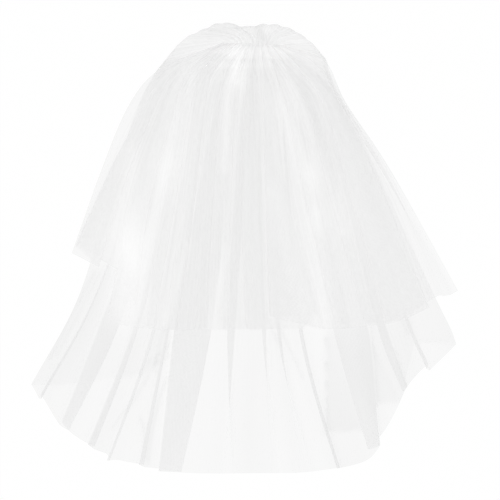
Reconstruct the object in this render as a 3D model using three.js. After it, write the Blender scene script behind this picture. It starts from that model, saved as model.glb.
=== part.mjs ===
// A two-tier bridal veil of tulle, gathered on a comb and laid out flat, face up.
// Millimetres. X runs across the veil, Y from the hem towards the comb, and Z up from the surface it lies on.
import * as THREE from "three";

// Driving dimensions
const WALL = 1; // thickness a layer of tulle is built at
const PITCH = 1.75; // height from the middle of one layer to the middle of the next one lying on it
const FLOOR_MIDDLE = WALL / 2; // middle of a layer that lies on the surface
const SIDE_ROOM = 1.6; // how far to each side a layer already clears what it passes over
const TIP_SPLIT = 0.6; // half the width over which a soft fold turns
const STEP_WIDTH = 1.2; // a layer carries on this far past a fold before it steps down
const STEP_RUN = 7; // and comes down over this much
const TURN_RISE = 1.2; // a turned layer climbs by this much from its first turn to its second
const RIPPLE_OPEN = 6; // a fold this far past open is still a full ripple
const RIPPLE_FLAT = 13; // and this far past open it has gone flat
const SEAM_LEFT = -37;
const SEAM_RIGHT = 65;
const SEAM_Y = 339;
const SEAM_SAG = 4; // the gathering thread sags this much towards its right end
const POUF_HOOK = 12; // the puff's gathers turn down by this much round each end of the comb
const POUF_HOOK_SHARE = 0.2; // over this share of the cloth
const POUF_RADIUS = 11; // half the height of the puff that turns over above the comb
const POUF_END = 0.5; // its radius at the two ends, as a part of the full one
const POUF_LIFT = 17; // the gathers rise this far square to the seam before they bend outwards
const GATHER_HEIGHT = 2.6; // height of one gather at the seam
const RIPPLE_HEIGHT = 2.0; // height of one ripple where the puff turns over
const COMB_LENGTH = 100;
const COMB_THICKNESS = 2.4;
const COMB_SPINE = 6; // height of the bar that the teeth grow from
const COMB_HEIGHT = 36; // bar and teeth together
const COMB_TEETH = 20;
const TOOTH_ROOT = 2.6; // width of a tooth where it leaves the bar
const TOOTH_TIP = 1.3;
const BINDING_HEIGHT = 22; // the ribbon folded over the comb's bar, from its fold to its edges
const BINDING_WALL = 1;
const SEAM_GAP = 0.35; // clear space between pieces that are sewn together

const WHITE = 0xfafafa;
const TULLE = { color: WHITE, roughness: 0.75, metalness: 0, side: THREE.FrontSide };
const RIBBON = { color: 0xf7f6f3, roughness: 0.4, metalness: 0 };
const COMB = { color: 0xeef0f1, roughness: 0.18, metalness: 0 };

function table(columns, rows) {
  return rows.map((row) => Object.fromEntries(columns.map((name, i) => [name, row[i]])));
}

// The fan that both tiers follow. Each row is a line of the cloth from comb to hem. share is its place across
// the veil, and the pairs say where it crosses the top of the puff, the neck just below the comb, the
// shoulder, the waist, the upper tier's hem and the lower tier's hem.
const FAN = table(
  [
    "share", "topX", "topY", "neckX", "neckY", "shoulderX", "shoulderY", "waistX", "waistY",
    "upperX", "upperY", "lowerX", "lowerY",
  ],
  [
    [0.0, -147, 293, -137, 298, -191, 240, -243, 117, -307, -66, -355, -228],
    [0.125, -105, 343, -101, 289, -144, 212, -181, 79, -232, -119, -301, -319],
    [0.25, -73, 361, -68, 286, -94, 209, -121, 59, -158, -136, -216, -362],
    [0.375, -38, 374, -33, 283, -51, 204, -64, 54, -81, -136, -104, -375],
    [0.5, 2, 368, 4, 281, 2, 204, 2, 51, 4, -136, 9, -376],
    [0.625, 38, 372, 39, 283, 52, 212, 69, 62, 92, -136, 122, -372],
    [0.75, 72, 366, 72, 287, 102, 226, 136, 79, 176, -134, 222, -343],
    [0.875, 107, 345, 104, 296, 148, 238, 196, 101, 262, -121, 280, -238],
    [1.0, 136, 313, 133, 310, 170, 239, 244, 128, 356, -72, 353, -161],
  ],
);

// Folds of the lower tier, from the middle outwards on each side. The shares are where a fold lies across the
// fan at the marks (the puff, the waist, the upper tier's hem and its own hem), and the depths are how far it
// is turned back there; a depth under nothing is a soft ripple. loft is how high the fold stands. hidden and
// after are how far down the turned layer and the cloth beyond it reach, as parts of the full length.
const LOWER_COLUMNS = [
  "top", "waist", "upper", "lower", "topDepth", "waistDepth", "upperDepth", "lowerDepth",
  "loft", "hidden", "after",
];
const LOWER_TIER = {
  marks: ["top", "waist", "upper", "lower"],
  stations: ["top", "shoulder", "waist", "upper", "lower"],
  second: 0.6, // the shoulder is this much of the way from the first mark to the second
  middle: { top: 0.452, waist: 0.43, upper: 0.42, lower: 0.41 },
  left: {
    edge: { top: 0.015, waist: 0.045, upper: 0.047, lower: 0.0 },
    folds: table(LOWER_COLUMNS, [
      [0.41, 0.385, 0.367, 0.353, -6, 50, 62, 38, 3.0, 1.0, 0.995],
      [0.335, 0.305, 0.3, 0.3, -6, 3, 4, 8, 1.2, 0.99, 0.99],
      [0.265, 0.268, 0.262, 0.235, -6, 4, 5, 4, 1.0, 1.0, 0.985],
      [0.195, 0.225, 0.213, 0.19, -6, 8, 8, 12, 1.6, 0.98, 0.98],
      [0.125, 0.165, 0.142, 0.118, -6, 14, 30, 18, 2.2, 0.975, 0.985],
      [0.06, 0.105, 0.082, 0.035, -6, 2, 3, 4, 0.8, 0.99, 1.0],
    ]),
  },
  right: {
    edge: { top: 0.98, waist: 0.95, upper: 0.955, lower: 1.0 },
    folds: table(LOWER_COLUMNS, [
      [0.495, 0.475, 0.4625, 0.46, -6, 15, 13, -14, 1.8, 1.0, 1.0],
      [0.56, 0.545, 0.54, 0.545, -6, 6, 6, -14, 1.2, 1.0, 1.0],
      [0.62, 0.59, 0.575, 0.605, -6, 6, 6, -13, 1.2, 1.0, 1.0],
      [0.685, 0.635, 0.627, 0.665, -6, 6, 6, 5, 1.4, 1.0, 1.0],
      [0.76, 0.74, 0.75, 0.745, -6, 46, 57, 24, 3.2, 0.985, 0.975],
      [0.84, 0.825, 0.825, 0.855, -6, 12, 14, 14, 1.6, 0.96, 0.965],
      [0.915, 0.885, 0.885, 0.92, -6, 4, 5, 4, 0.8, 0.97, 1.0],
    ]),
  },
};

// Folds of the upper tier, in the same way, with its marks at the seam, the shoulder, the waist and its hem.
const UPPER_COLUMNS = [
  "top", "shoulder", "waist", "upper", "topDepth", "shoulderDepth", "waistDepth", "upperDepth",
  "loft", "hidden", "after",
];
const UPPER_TIER = {
  marks: ["top", "shoulder", "waist", "upper"],
  stations: ["seam", "neck", "shoulder", "waist", "upper"],
  second: 0.5, // the neck is this much of the way from the first mark to the second
  middle: { top: 0.48, shoulder: 0.48, waist: 0.48, upper: 0.485 },
  left: {
    edge: { top: 0, shoulder: 0, waist: 0, upper: 0 },
    folds: table(UPPER_COLUMNS, [
      [0.44, 0.445, 0.445, 0.45, -2.4, 8, 11, 12, 1.6, 1.0, 1.0],
      [0.36, 0.38, 0.385, 0.39, -2.4, 10, 12, 12, 1.6, 0.995, 1.0],
      [0.28, 0.31, 0.315, 0.315, -2.4, 10, 13, 13, 1.6, 1.0, 1.0],
      [0.2, 0.235, 0.24, 0.25, -2.4, 14, 17, 14, 2.0, 0.99, 1.0],
      [0.12, 0.155, 0.14, 0.165, -2.4, 22, 32, 44, 2.6, 0.985, 0.9],
      [0.05, 0.073, 0.052, 0.039, -2.4, 20, 33, 55, 2.2, 0.91, 0.925],
    ]),
  },
  right: {
    edge: { top: 1, shoulder: 1, waist: 1, upper: 1 },
    folds: table(UPPER_COLUMNS, [
      [0.52, 0.515, 0.515, 0.52, -2.4, 20, 30, 30, 2.0, 1.0, 1.0],
      [0.6, 0.6, 0.6, 0.615, -2.4, 22, 40, 84, 2.4, 0.955, 1.0],
      [0.68, 0.69, 0.7, 0.73, -2.4, 13, 16, 15, 2.2, 1.0, 1.0],
      [0.76, 0.775, 0.78, 0.8, -2.4, 14, 18, 17, 1.8, 0.99, 1.0],
      [0.84, 0.86, 0.88, 0.888, -2.4, 24, 54, 80, 2.4, 1.0, 0.99],
      [0.93, 0.955, 0.975, 0.978, -2.4, 7, 5, -10, 1.0, 1.0, 1.0],
    ]),
  },
};
const LAST = 4; // level of a tier's hem; its top is at level 0
const FOLDED_LEVEL = 1; // from the top down to here the gathers deepen into folds

// Values spaced evenly over 0 to 1, read between by a smooth curve and beyond the ends by a straight line.
function smooth(values, at) {
  const last = values.length - 1;
  const place = at * last;
  const i = Math.min(Math.max(Math.floor(place), 0), last - 1);
  const f = place - i;
  const p1 = values[i];
  const p2 = values[i + 1];
  if (f < 0 || f > 1) return p1 + (p2 - p1) * f;
  const p0 = i > 0 ? values[i - 1] : 2 * p1 - p2;
  const p3 = i + 2 <= last ? values[i + 2] : 2 * p2 - p1;
  return p1 + 0.5 * f * (p2 - p0 + f * (2 * p0 - 5 * p1 + 4 * p2 - p3 + f * (3 * (p1 - p2) + p3 - p0)));
}

const mix = (a, b, f) => a + (b - a) * f;

// 1 over most of a row's width, and down to 0 at its two ends, where gathers lie flat.
const calm = (share) => Math.min(1, Math.max(0, 5 * share * (1 - share)));

function towards(from, to) {
  const length = Math.hypot(to.x - from.x, to.y - from.y) || 1;
  return { x: (to.x - from.x) / length, y: (to.y - from.y) / length };
}

function seamPoint(share) {
  return { x: mix(SEAM_LEFT, SEAM_RIGHT, share), y: SEAM_Y - SEAM_SAG * share * share };
}

function poufSeamPoint(share) {
  const { x, y } = seamPoint(share);
  return { x, y: y - POUF_HOOK * Math.max(0, 1 - Math.min(share, 1 - share) / POUF_HOOK_SHARE) ** 2 };
}

// Where a tier's cloth lies in plan, at a share across and a level down.
function planAt(tier, share, level) {
  const crossing = (ray, axis, name) =>
    name === "seam" ? seamPoint(ray.share)[axis] : ray[name + axis.toUpperCase()];
  const line = (ray, axis) => tier.stations.map((name) => crossing(ray, axis, name));
  return {
    x: smooth(FAN.map((ray) => smooth(line(ray, "x"), level / LAST)), share),
    y: smooth(FAN.map((ray) => smooth(line(ray, "y"), level / LAST)), share),
  };
}

// A value given at a tier's four marks, read at a level.
function readMarks(tier, row, ending, level) {
  const [a, b, c, d] = tier.marks.map((name) => row[name + ending]);
  return smooth([a, mix(a, b, tier.second), b, c, d], level / LAST);
}

// Distances along one row of the fan, so that places across it can be given in millimetres.
function rulerOf(pointAt) {
  const steps = 220;
  const shares = [];
  const lengths = [];
  let last = null;
  let length = 0;
  for (let i = 0; i <= steps; i++) {
    const share = mix(-0.05, 1.05, i / steps);
    const p = pointAt(share);
    if (last) length += Math.hypot(p.x - last.x, p.y - last.y);
    shares.push(share);
    lengths.push(length);
    last = p;
  }
  const read = (from, to, value) => {
    let i = 0;
    while (i < steps - 1 && from[i + 1] < value) i++;
    return mix(to[i], to[i + 1], (value - from[i]) / (from[i + 1] - from[i]));
  };
  return {
    place: (share) => read(shares, lengths, share),
    share: (place) => read(lengths, shares, place),
  };
}

// One half of a row, as columns of cloth from the middle outwards. side is 1 to the right and -1 to the left.
// Each fold has eight columns: two across the panel before it, two at each of its turns, and two where the
// cloth steps down on to what it lies on. A column that breaks starts a new layer.
function halfRow(tier, half, side, level, ruler, start) {
  const deepened = Math.min(1, level / FOLDED_LEVEL) ** 2;
  const folds = half.folds.map((fold) => ({
    fold,
    centre: side * ruler.place(readMarks(tier, fold, "", level)),
    depth: mix(fold.topDepth, readMarks(tier, fold, "Depth", level), deepened),
  }));
  const edge = side * ruler.place(readMarks(tier, half.edge, "", level));
  const columns = [];
  const add = (q, own, reach, breaks = false) => columns.push({ s: side * q, own, reach, breaks });
  let from = side * start;
  let reach = 1;
  folds.forEach(({ fold, centre, depth }, k) => {
    const turned = depth > -2 * TIP_SPLIT;
    const split = TIP_SPLIT * Math.min(1, Math.max(0.15, 1 - depth / 12));
    const open = Math.min(1, Math.max(0, (RIPPLE_FLAT + depth) / (RIPPLE_FLAT - RIPPLE_OPEN)));
    const next = folds[k + 1];
    const limit = next ? next.centre + next.depth / 2 - TIP_SPLIT : edge;
    const first = centre + depth / 2;
    const second = centre - depth / 2;
    const top = Math.max(first, second) + split;
    const gap = limit - top;
    if (gap < 1.5) throw new Error(`folds ${k} and ${k + 1} meet at level ${level} of ${tier.stations[0]}`);
    const step = top + Math.min(STEP_WIDTH, 0.2 * gap);
    const down = step + Math.min(STEP_RUN, 0.3 * gap);
    const low = (turned ? 0.25 * fold.loft : PITCH) * open;
    const high = turned ? 0.5 * fold.loft : 2 * PITCH * open;
    const before = mix(reach, fold.hidden, 0.65);
    const beyond = mix(fold.after, fold.hidden, 0.65);
    add(mix(from, first - split, 1 / 3), 0, reach);
    add(mix(from, first - split, 2 / 3), 0, reach);
    add(first - split, 0, before);
    add(first + split, low, before, turned);
    add(second - split, low + TURN_RISE * open, beyond);
    add(second + split, high + (turned ? 0 : TURN_RISE * open), beyond, turned);
    add(step, high, fold.after);
    add(down, 0, fold.after);
    from = down;
    reach = fold.after;
  });
  add(mix(from, edge, 0.5), 0, reach);
  add(edge, 0, reach);
  return columns;
}

// Heights along one row: each run of cloth lies on the surface, or on the runs laid before it.
function layRow(left, middle, right, under) {
  const all = [...left, middle, ...right];
  const grain = 0.4;
  const from = Math.min(...all.map((c) => c.s)) - 8;
  const count = Math.ceil((Math.max(...all.map((c) => c.s)) + 8 - from) / grain) + 1;
  const top = Array.from({ length: count }, (_, i) => under(from + i * grain));
  const side = Math.round(SIDE_ROOM / grain);
  const clear = (s) => {
    const i = Math.round((s - from) / grain);
    const near = top.slice(Math.max(0, i - side), i + side + 1);
    return Math.max(FLOOR_MIDDLE, Math.max(...near) + PITCH);
  };
  const walk = (run, visit) => {
    for (let i = 1; i < run.length; i++) {
      const [a, b] = [run[i - 1], run[i]];
      const steps = Math.max(1, Math.ceil(Math.abs(b.s - a.s) / grain));
      for (let k = 0; k <= steps; k++) visit(a, b, k / steps);
    }
  };
  const lay = (run) => {
    for (const c of run) c.z = clear(c.s) + c.own;
    for (let pass = 0; pass < 4; pass++)
      walk(run, (a, b, f) => {
        const lack = clear(mix(a.s, b.s, f)) - mix(a.z, b.z, f);
        if (lack < 0.01) return;
        const share = lack / (f * f + (1 - f) * (1 - f));
        a.z += share * (1 - f);
        b.z += share * f;
      });
    walk(run, (a, b, f) => {
      const i = Math.round((mix(a.s, b.s, f) - from) / grain);
      top[i] = Math.max(top[i], mix(a.z, b.z, f));
    });
  };
  const runsOf = (columns) => {
    const runs = [[]];
    for (const c of columns) {
      if (c.breaks) runs.push([]);
      runs[runs.length - 1].push(c);
    }
    return runs;
  };
  const [firstRight, ...moreRight] = runsOf(right);
  const [firstLeft, ...moreLeft] = runsOf(left);
  lay([...firstLeft.reverse(), middle, ...firstRight]);
  for (const run of [...moreRight, ...moreLeft]) lay(run);
}

// One row of folded cloth, as points on its middle. under gives how high the pieces below it reach.
function foldedRow(tier, level, under) {
  const ruler = rulerOf((share) => planAt(tier, share, level));
  const middle = { s: ruler.place(readMarks(tier, tier.middle, "", level)), own: 0, reach: 1 };
  const right = halfRow(tier, tier.right, 1, level, ruler, middle.s);
  const left = halfRow(tier, tier.left, -1, level, ruler, middle.s);
  layRow(left, middle, right, (s) => under(ruler.share(s)));
  const near = (level / LAST) ** 3;
  return [...left.reverse(), middle, ...right].map((c) => {
    const p = planAt(tier, ruler.share(c.s), level * (1 + (c.reach - 1) * near));
    return new THREE.Vector3(p.x, p.y, c.z);
  });
}

// One row of even gathers: a share and a rise from 0 to 1 for each of the same columns.
const GATHER_PROFILE = [0, 0.04, 0.2, 0.62, 1, 0.92, 0.5, 0.12];
function gatheredRow(tier, pointAt) {
  const ruler = rulerOf(pointAt);
  const [first, last] = [ruler.place(0), ruler.place(1)];
  const counts = { left: tier.left.folds.length, right: tier.right.folds.length };
  const pitch = (last - first) / (counts.left + counts.right + 1);
  const middle = first + pitch * (counts.left + 0.5);
  const step = pitch / GATHER_PROFILE.length;
  const half = (side, folds) => {
    const columns = [];
    for (let k = 0; k < folds; k++)
      GATHER_PROFILE.forEach((rise, j) =>
        columns.push({ place: middle + side * (k * pitch + (j + 1) * step), rise }),
      );
    columns.push({ place: middle + side * (folds * pitch + 1.5 * step), rise: 0 });
    columns.push({ place: middle + side * (folds + 0.5) * pitch, rise: 0 });
    return columns;
  };
  const columns = [...half(-1, counts.left).reverse(), { place: middle, rise: 0 }, ...half(1, counts.right)];
  return columns.map((c) => {
    const share = ruler.share(c.place);
    return { share, rise: c.rise * calm(share) ** 2 };
  });
}

// A map, seen from above, of how high the middle of the topmost layer lies.
const MAP_GRAIN = 4;
const MAP_REACH = 120;
const EMPTY = FLOOR_MIDDLE - PITCH;
const pile = new Float32Array((2 * MAP_REACH) ** 2).fill(EMPTY);
const cellOf = (i, j) => (i + MAP_REACH) * 2 * MAP_REACH + j + MAP_REACH;
function mark(x, y, z) {
  const i = Math.round(x / MAP_GRAIN);
  const j = Math.round(y / MAP_GRAIN);
  for (let a = -1; a <= 1; a++)
    for (let b = -1; b <= 1; b++) pile[cellOf(i + a, j + b)] = Math.max(pile[cellOf(i + a, j + b)], z);
}
function pileAt(x, y) {
  const i = Math.floor(x / MAP_GRAIN);
  const j = Math.floor(y / MAP_GRAIN);
  const u = x / MAP_GRAIN - i;
  const near = mix(pile[cellOf(i, j)], pile[cellOf(i + 1, j)], u);
  const far = mix(pile[cellOf(i, j + 1)], pile[cellOf(i + 1, j + 1)], u);
  return mix(near, far, y / MAP_GRAIN - j);
}
function markRows(rows) {
  for (let r = 1; r < rows.length; r++)
    for (let c = 1; c < rows[r].length; c++) {
      const [a, b, d, e] = [rows[r - 1][c - 1], rows[r - 1][c], rows[r][c - 1], rows[r][c]];
      const across = Math.ceil(Math.max(a.distanceTo(b), d.distanceTo(e)) / 3) + 1;
      const down = Math.ceil(a.distanceTo(d) / 3) + 1;
      for (let i = 0; i <= across; i++) {
        const near = a.clone().lerp(b, i / across);
        const far = d.clone().lerp(e, i / across);
        for (let j = 0; j <= down; j++) {
          const p = near.clone().lerp(far, j / down);
          mark(p.x, p.y, p.z);
        }
      }
    }
}

// The lower tier from where the puff has turned under, down to its hem.
const LOWER_LEVELS = [0.3, 0.6, 0.95, 1.35, 1.75, 2.15, 2.5, 2.8, 3.1, 3.4, 3.7, 4];
function lowerBackRows() {
  return LOWER_LEVELS.map((level) => foldedRow(LOWER_TIER, level, () => EMPTY));
}

// The puff: from the seam up and over to where it turns under, in even gathers.
function poufRows(seamLow) {
  const seam = gatheredRow(LOWER_TIER, poufSeamPoint);
  const top = gatheredRow(LOWER_TIER, (share) => planAt(LOWER_TIER, share, 0));
  const turn = (degrees) =>
    top.map(({ share, rise }) => {
      const tip = planAt(LOWER_TIER, share, 0);
      const run = towards(planAt(LOWER_TIER, share - 0.01, 0), planAt(LOWER_TIER, share + 0.01, 0));
      const angle = (degrees * Math.PI) / 180;
      const next = degrees > 0 ? poufSeamPoint(share) : planAt(LOWER_TIER, share, 0.3);
      const aim = towards(tip, next);
      const x = mix(run.y, aim.x, Math.abs(Math.sin(angle)));
      const y = mix(-run.x, aim.y, Math.abs(Math.sin(angle)));
      const radius = POUF_RADIUS * mix(POUF_END, 1, calm(share));
      const reach = radius - rise * RIPPLE_HEIGHT;
      const inset = (radius - reach * Math.cos(angle)) / Math.hypot(x, y);
      const z = FLOOR_MIDDLE + radius + reach * Math.sin(angle);
      return new THREE.Vector3(tip.x + x * inset, tip.y + y * inset, z);
    });
  const overTop = turn(90);
  const front = [0, 0.2, 0.45, 0.72].map((f) =>
    overTop.map((p, i) => {
      const s = poufSeamPoint(seam[i].share);
      const lifted = s.y + Math.min(POUF_LIFT * calm(seam[i].share), 0.5 * Math.hypot(p.x - s.x, p.y - s.y));
      const z = seamLow + GATHER_HEIGHT * (1 - seam[i].rise);
      return new THREE.Vector3(
        mix(mix(s.x, s.x, f), mix(s.x, p.x, f), f),
        mix(mix(s.y, lifted, f), mix(lifted, p.y, f), f),
        mix(z, p.z, f * f * (3 - 2 * f)),
      );
    }),
  );
  return [...front, overTop, ...[45, 0, -45, -90].map(turn)];
}

// The upper tier, from the seam down over everything else.
const UPPER_LEVELS = [0.2, 0.42, 0.68, 0.95, 1.25, 1.6, 1.95, 2.3, 2.65, 3, 3.35, 3.7, 4];
function upperRows() {
  const seamAt = (share) => planAt(UPPER_TIER, share, 0);
  const seam = gatheredRow(UPPER_TIER, seamAt);
  const seamTop = Math.max(...seam.map(({ share }) => pileAt(seamAt(share).x, seamAt(share).y)));
  const first = seam.map(({ share, rise }) => {
    const p = seamAt(share);
    return new THREE.Vector3(p.x, p.y, seamTop + PITCH + rise * GATHER_HEIGHT);
  });
  const highest = (share, level, span) =>
    Math.max(
      ...[-span, 0, span].map((offset) => {
        const p = planAt(UPPER_TIER, share, level + offset);
        return pileAt(p.x, p.y);
      }),
    );
  const rowAt = (level) => foldedRow(UPPER_TIER, level, (share) => highest(share, level, 0.15));
  return [first, ...UPPER_LEVELS.map(rowAt)];
}

// A closed geometry from points and triangles, turned so that its faces look outwards.
function closedGeometry(points, index) {
  let volume = 0;
  for (let i = 0; i < index.length; i += 3)
    volume += points[index[i]].dot(points[index[i + 1]].clone().cross(points[index[i + 2]]));
  if (volume < 0) index.reverse();
  const geometry = new THREE.BufferGeometry();
  geometry.setAttribute("position", new THREE.Float32BufferAttribute(points.flatMap((p) => p.toArray()), 3));
  geometry.setIndex(index);
  geometry.computeVertexNormals();
  return geometry;
}

// A closed wall from rows of points on the middle of the cloth. Each point moves out square to the two
// stretches that meet there, further where they meet at an angle, so that a fold keeps its thickness.
function wallGeometry(rows) {
  const height = rows.length;
  const width = rows[0].length;
  const above = [];
  const below = [];
  for (let r = 0; r < height; r++)
    for (let c = 0; c < width; c++) {
      const p = rows[r][c];
      const down = rows[Math.min(r + 1, height - 1)][c].clone().sub(rows[Math.max(r - 1, 0)][c]);
      const before = c > 0 ? p.clone().sub(rows[r][c - 1]).normalize() : null;
      const after = c < width - 1 ? rows[r][c + 1].clone().sub(p).normalize() : null;
      const a = (before ?? after).clone().cross(down).normalize();
      const b = (after ?? before).clone().cross(down).normalize();
      const normal = a.clone().add(b).normalize();
      const out = normal.multiplyScalar(WALL / 2 / Math.max(0.7, normal.dot(a)));
      above.push(p.clone().sub(out));
      below.push(p.clone().add(out));
    }
  const points = [...above, ...below];
  for (const p of points) p.z = Math.max(0, p.z);
  const index = [];
  const quad = (a, b, c, d) => index.push(a, b, c, a, c, d);
  const half = width * height;
  for (let r = 1; r < height; r++)
    for (let c = 1; c < width; c++) {
      const i = r * width + c;
      quad(i - width - 1, i - width, i, i - 1);
      quad(i - 1 + half, i + half, i - width + half, i - width - 1 + half);
    }
  const rim = [];
  for (let c = 0; c < width - 1; c++) rim.push(c);
  for (let r = 0; r < height - 1; r++) rim.push(r * width + width - 1);
  for (let c = width - 1; c > 0; c--) rim.push((height - 1) * width + c);
  for (let r = height - 1; r > 0; r--) rim.push(r * width);
  rim.forEach((k, i) => {
    const next = rim[(i + 1) % rim.length];
    quad(k, k + half, next + half, next);
  });
  return closedGeometry(points, index);
}

// The comb: a bar with tapered teeth that point down the veil.
function combGeometry() {
  const shape = new THREE.Shape();
  const pitch = COMB_LENGTH / COMB_TEETH;
  const tipY = COMB_SPINE - COMB_HEIGHT;
  shape.moveTo(0, COMB_SPINE - 1);
  shape.lineTo(0, 0);
  for (let i = 0; i < COMB_TEETH; i++) {
    const x = (i + 0.5) * pitch;
    if (i > 0) shape.lineTo(x - TOOTH_ROOT / 2, 0);
    shape.lineTo(x - TOOTH_TIP / 2, tipY + 1);
    shape.lineTo(x, tipY);
    shape.lineTo(x + TOOTH_TIP / 2, tipY + 1);
    if (i < COMB_TEETH - 1) shape.lineTo(x + TOOTH_ROOT / 2, 0);
  }
  shape.lineTo(COMB_LENGTH, 0);
  shape.lineTo(COMB_LENGTH, COMB_SPINE - 1);
  shape.lineTo(COMB_LENGTH - 1, COMB_SPINE);
  shape.lineTo(1, COMB_SPINE);
  return new THREE.ExtrudeGeometry(shape, { depth: COMB_THICKNESS, bevelEnabled: false, curveSegments: 1 });
}

// The binding: a ribbon folded over the comb's bar, open towards the teeth, as a section run along X.
const BINDING_INSIDE = COMB_THICKNESS + 2 * SEAM_GAP;
const BINDING_OUTSIDE = BINDING_INSIDE + 2 * BINDING_WALL;
function bindingGeometry(length) {
  const bend = 10;
  const arc = (radius) =>
    Array.from({ length: bend + 1 }, (_, i) => {
      const angle = (i / bend - 0.5) * Math.PI;
      return new THREE.Vector2(radius * Math.cos(angle), BINDING_OUTSIDE / 2 + radius * Math.sin(angle));
    });
  const foot = BINDING_OUTSIDE / 2 - BINDING_HEIGHT;
  const outer = arc(BINDING_OUTSIDE / 2);
  const inner = arc(BINDING_INSIDE / 2).reverse();
  const outline = [
    new THREE.Vector2(foot, 0),
    ...outer,
    new THREE.Vector2(foot, BINDING_OUTSIDE),
    new THREE.Vector2(foot, BINDING_OUTSIDE - BINDING_WALL),
    ...inner,
    new THREE.Vector2(foot, BINDING_WALL),
  ];
  const section = new THREE.Shape(outline);
  const geometry = new THREE.ExtrudeGeometry(section, { depth: length, bevelEnabled: false });
  return geometry.applyMatrix4(new THREE.Matrix4().set(0, 0, 1, 0, 1, 0, 0, 0, 0, 1, 0, 0, 0, 0, 0, 1));
}

const group = new THREE.Group();
function addPiece(name, geometry, look) {
  const mesh = new THREE.Mesh(geometry, new THREE.MeshStandardMaterial(look));
  mesh.name = name;
  group.add(mesh);
  return mesh;
}

const lowerBack = lowerBackRows();
markRows(lowerBack);

const bindingLeft = SEAM_LEFT - 1;
const bindingRight = SEAM_RIGHT + 1;
const bindingTopY = SEAM_Y - SEAM_SAG;
let bindingZ = 0;
for (let x = bindingLeft; x <= bindingRight; x += 2)
  for (let y = bindingTopY - COMB_HEIGHT - 4; y <= bindingTopY + 2; y += 2)
    bindingZ = Math.max(bindingZ, pileAt(x, y));
bindingZ += WALL / 2 + SEAM_GAP;
const binding = addPiece("binding", bindingGeometry(bindingRight - bindingLeft), RIBBON);
binding.position.set(bindingLeft, bindingTopY - BINDING_OUTSIDE / 2, bindingZ);
const comb = addPiece("comb", combGeometry(), COMB);
comb.position.set(
  (bindingLeft + bindingRight - COMB_LENGTH) / 2,
  bindingTopY - BINDING_OUTSIDE / 2 - COMB_SPINE - SEAM_GAP,
  bindingZ + BINDING_WALL + SEAM_GAP,
);
const bindingTop = bindingZ + BINDING_OUTSIDE;
for (let x = bindingLeft; x <= bindingRight; x += 2)
  for (let y = bindingTopY - BINDING_HEIGHT; y <= bindingTopY; y += 2) mark(x, y, bindingTop - WALL / 2);
for (let x = bindingLeft; x <= bindingRight; x += 2)
  for (let y = bindingTopY - COMB_HEIGHT; y <= bindingTopY; y += 2)
    mark(x, y, bindingTop - BINDING_WALL - SEAM_GAP - WALL / 2);

const lower = [...poufRows(bindingTop + SEAM_GAP + WALL / 2), ...lowerBack];
addPiece("lower_tier", wallGeometry(lower), TULLE);
markRows(lower);
addPiece("upper_tier", wallGeometry(upperRows()), TULLE);

// The origin lies under the middle of the veil.
const middle = new THREE.Box3().setFromObject(group).getCenter(new THREE.Vector3());
group.position.set(-middle.x, -middle.y, 0);

export default group;
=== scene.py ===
import math

import bmesh
import bpy
import numpy as np
from bpy.props import FloatProperty, FloatVectorProperty, IntProperty, PointerProperty
from mathutils import Matrix, Vector, noise


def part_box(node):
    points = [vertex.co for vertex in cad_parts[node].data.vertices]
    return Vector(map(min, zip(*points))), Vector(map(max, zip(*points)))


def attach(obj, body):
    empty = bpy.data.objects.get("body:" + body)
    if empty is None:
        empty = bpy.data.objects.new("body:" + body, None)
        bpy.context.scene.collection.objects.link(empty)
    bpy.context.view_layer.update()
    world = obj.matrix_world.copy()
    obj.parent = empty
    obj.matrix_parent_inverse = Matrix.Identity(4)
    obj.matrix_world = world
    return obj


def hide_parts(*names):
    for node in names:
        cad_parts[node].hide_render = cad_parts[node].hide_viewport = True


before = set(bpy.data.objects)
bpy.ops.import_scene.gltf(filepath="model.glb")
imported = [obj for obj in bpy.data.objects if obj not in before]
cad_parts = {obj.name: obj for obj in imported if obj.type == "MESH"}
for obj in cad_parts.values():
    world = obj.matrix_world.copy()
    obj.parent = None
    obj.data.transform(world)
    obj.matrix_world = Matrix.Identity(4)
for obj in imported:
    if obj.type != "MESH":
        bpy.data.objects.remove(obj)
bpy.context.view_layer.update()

bl_info = {
    "name": "Bridal Veil",
    "version": (1, 0, 0),
    "blender": (4, 5, 0),
    "location": "View3D > Sidebar > Veil",
    "description": "A two-tier tulle veil, gathered on a comb and laid out flat",
    "category": "Object",
}

MM = 0.001

# How the solids are laid, as in the part's source. Lengths are in millimetres.
WALL = 1.0
PITCH = 1.75
FLOOR_MIDDLE = WALL / 2
SIDE_ROOM = 1.6
TIP_SPLIT = 0.6
STEP_WIDTH = 1.2
STEP_RUN = 7.0
TURN_RISE = 1.2
RIPPLE_OPEN = 6.0
RIPPLE_FLAT = 13.0
SEAM_LEFT = -37.0
SEAM_RIGHT = 65.0
SEAM_Y = 339.0
SEAM_SAG = 4.0
POUF_HOOK = 12.0
POUF_HOOK_SHARE = 0.2
POUF_RADIUS = 11.0
POUF_END = 0.5
POUF_LIFT = 17.0
GATHER_HEIGHT = 2.6
RIPPLE_HEIGHT = 2.0
COMB_HEIGHT = 36.0
SEAM_GAP = 0.35

# Levels down a tier: the hem, where folds are full, where each tier's laid rows start, and how far up and
# down a row looks for cloth that it lies on
LAST = 4.0
FOLDED_LEVEL = 1.0
BACK_LEVEL = 0.3
UPPER_LEVEL = 0.2
HIGH_SPAN = 0.15

# Rows of points in the puff, from the puff to the lower tier's back, and from the seam to the upper tier
POUF_FRONT_ROWS = 16
POUF_TURN_ROWS = 14
POUF_JOIN_ROWS = 6
SEAM_JOIN_ROWS = 5

# How far up the puff's front its last row is
POUF_FRONT_END = 0.86

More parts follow.
